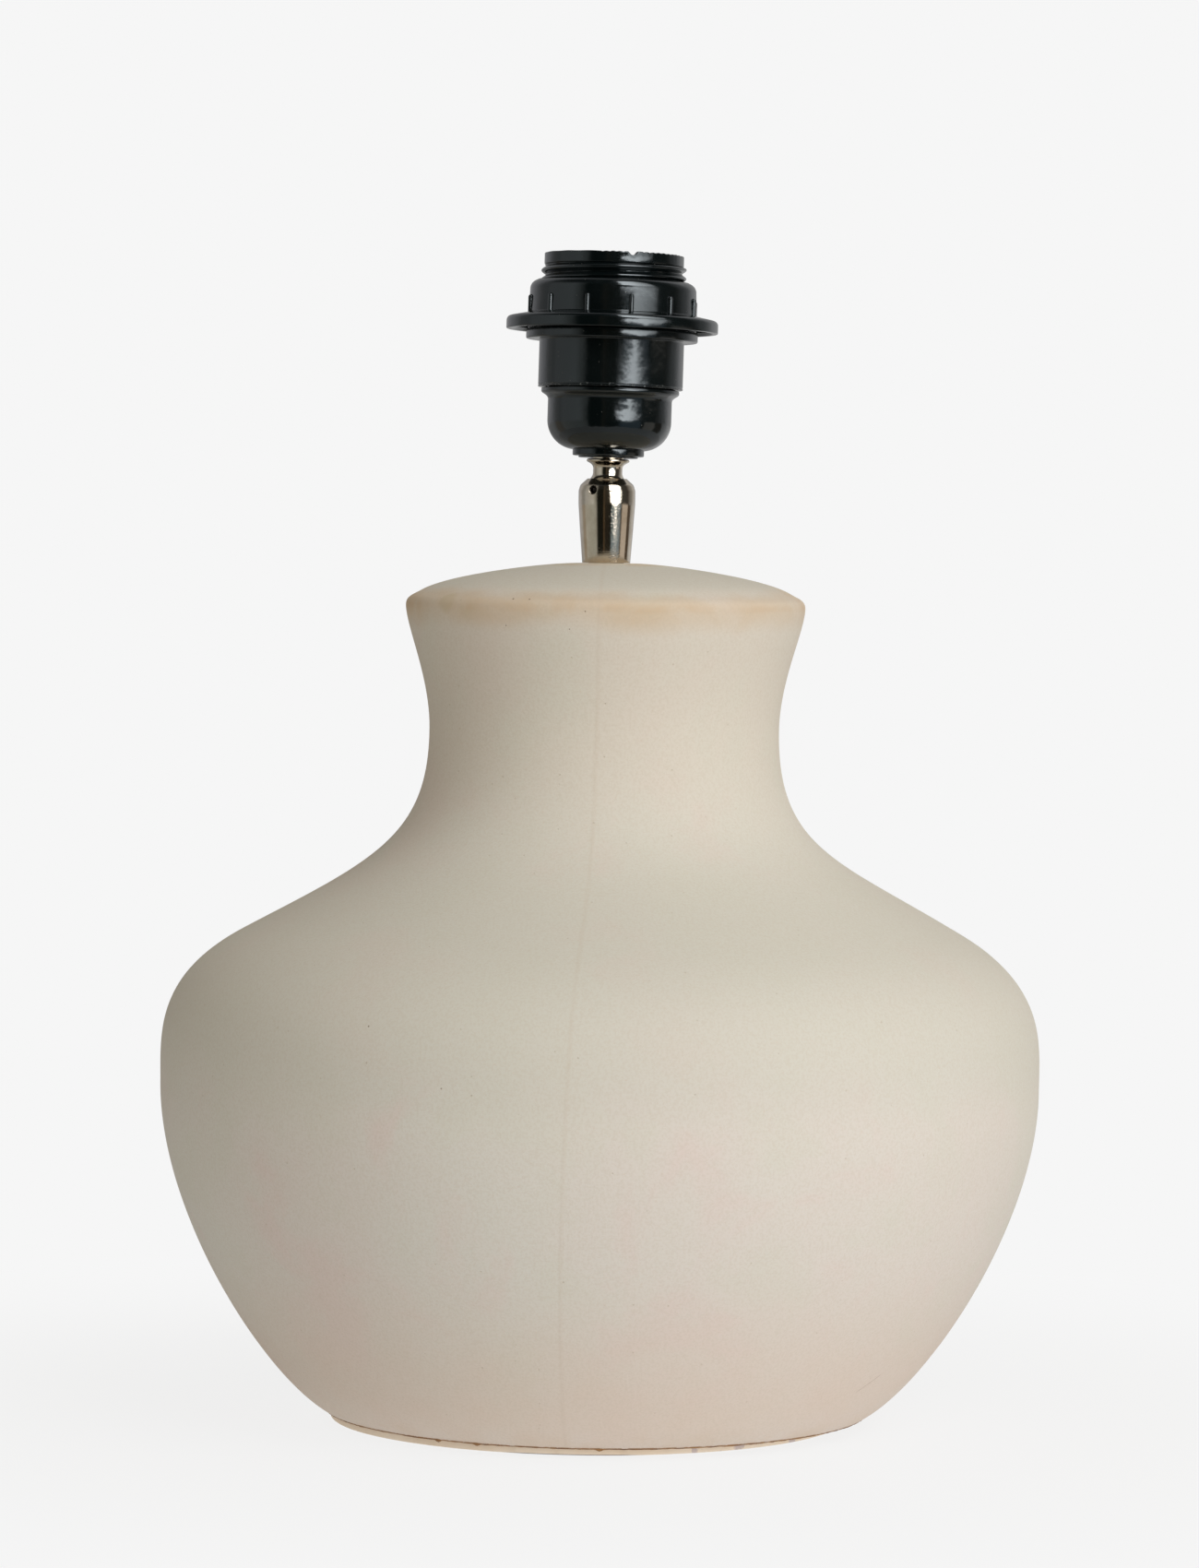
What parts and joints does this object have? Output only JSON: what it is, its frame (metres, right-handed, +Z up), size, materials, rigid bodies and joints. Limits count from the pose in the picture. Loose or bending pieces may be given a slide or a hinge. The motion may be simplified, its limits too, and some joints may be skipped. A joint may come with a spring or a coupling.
{
  "type": "table lamp",
  "caption": "Table lamp base without its shade: a wide matte stoneware body on a thin foot, a ball swivel on its domed top, and a black lampholder with a screw-on shade ring.",
  "frame": {"origin": "on the table, under the middle of the stoneware body", "axes": "+Z up along the body's axis, -Y towards the front as pictured, the cord bush on the +Y side"},
  "size_m": [0.2426, 0.2426, 0.3217],
  "materials": {
    "stoneware": "matte unglazed cream stoneware",
    "foot": "matte cream",
    "felt": "grey felt",
    "rubber": "matte black",
    "nickel": "polished nickel plate",
    "steel": "zinc-plated steel",
    "brass": "bare brass",
    "spring_steel": "hardened spring steel",
    "nylon": "natural nylon",
    "black_moulding": "glossy black thermoset moulding",
    "insulator": "off-white steatite"
  },
  "bodies": {
    "base": {"ceramic_body": "stoneware", "foot_ring": "foot", "felt_pad": "felt", "cord_bush": "rubber", "hollow_rod": "steel", "rubber_washer": "rubber", "steel_washer": "steel", "lock_nut": "steel", "swivel_socket": "nickel", "stop_pin": "spring_steel", "disc_spring": "spring_steel"},
    "pivot": {"friction_seat": "nylon"},
    "holder": {"ball_stud": "nickel", "holder_cup": "black_moulding", "thread_bush": "brass", "holder_sleeve": "black_moulding", "contact_block": "insulator", "centre_contact": "brass", "side_contact": "brass", "contact_screw_left": "steel", "contact_screw_right": "steel", "terminal_left": "brass", "terminal_right": "brass", "terminal_screw_left": "steel", "terminal_screw_right": "steel"},
    "shade_ring": {"shade_ring": "black_moulding"}
  },
  "joints": [
    {"name": "swivel_turn", "type": "hinge", "parent": "base", "child": "pivot", "pos_m": [0, 0, 0.2549], "axis": [0, 0, 1], "range_deg": [-160, 160]},
    {"name": "swivel_tilt", "type": "hinge", "parent": "pivot", "child": "holder", "pos_m": [0, 0, 0.2549], "axis": [-0.5878, 0.809, 0], "range_deg": [-12.36, 9.64]},
    {"name": "ring_lift", "type": "slide", "parent": "holder", "child": "shade_ring", "axis": [0.0192, 0.014, 0.9997], "range_m": [0, 0.024]}
  ]
}
